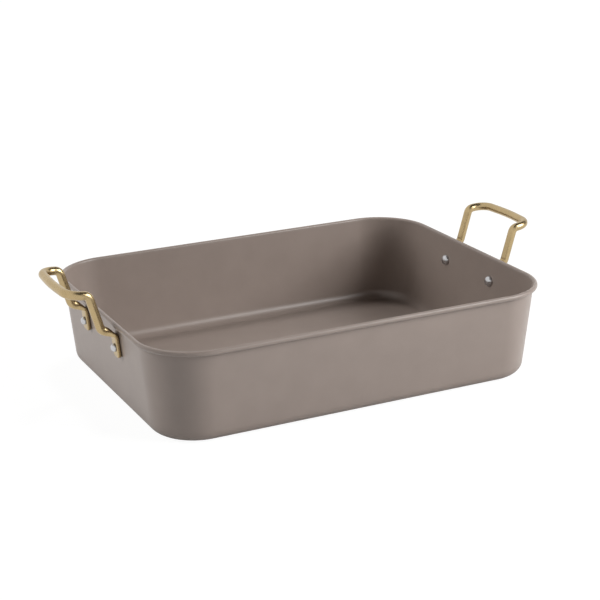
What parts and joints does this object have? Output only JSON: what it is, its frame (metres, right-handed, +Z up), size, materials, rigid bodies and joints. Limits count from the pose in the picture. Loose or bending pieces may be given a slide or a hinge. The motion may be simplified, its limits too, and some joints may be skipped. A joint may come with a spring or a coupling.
{
  "type": "roasting pan",
  "caption": "Deep rectangular roasting pan of coated sheet steel with round corners, a rolled rim and a riveted bent-rod handle on each short wall.",
  "frame": {"origin": "middle of the underside of the base, on the surface that the pan stands on", "axes": "+X along the pan towards the right handle, +Y across the pan towards its back wall, +Z up"},
  "size_m": [0.4864, 0.298, 0.1213],
  "materials": {
    "coating": "satin taupe coating",
    "brass": "polished pale brass",
    "steel": "bright drawn steel"
  },
  "bodies": {
    "root": {"pan_body": "coating", "handle_right": "brass", "handle_left": "brass", "rivet_right_front": "steel", "rivet_right_back": "steel", "rivet_left_front": "steel", "rivet_left_back": "steel"}
  },
  "joints": []
}
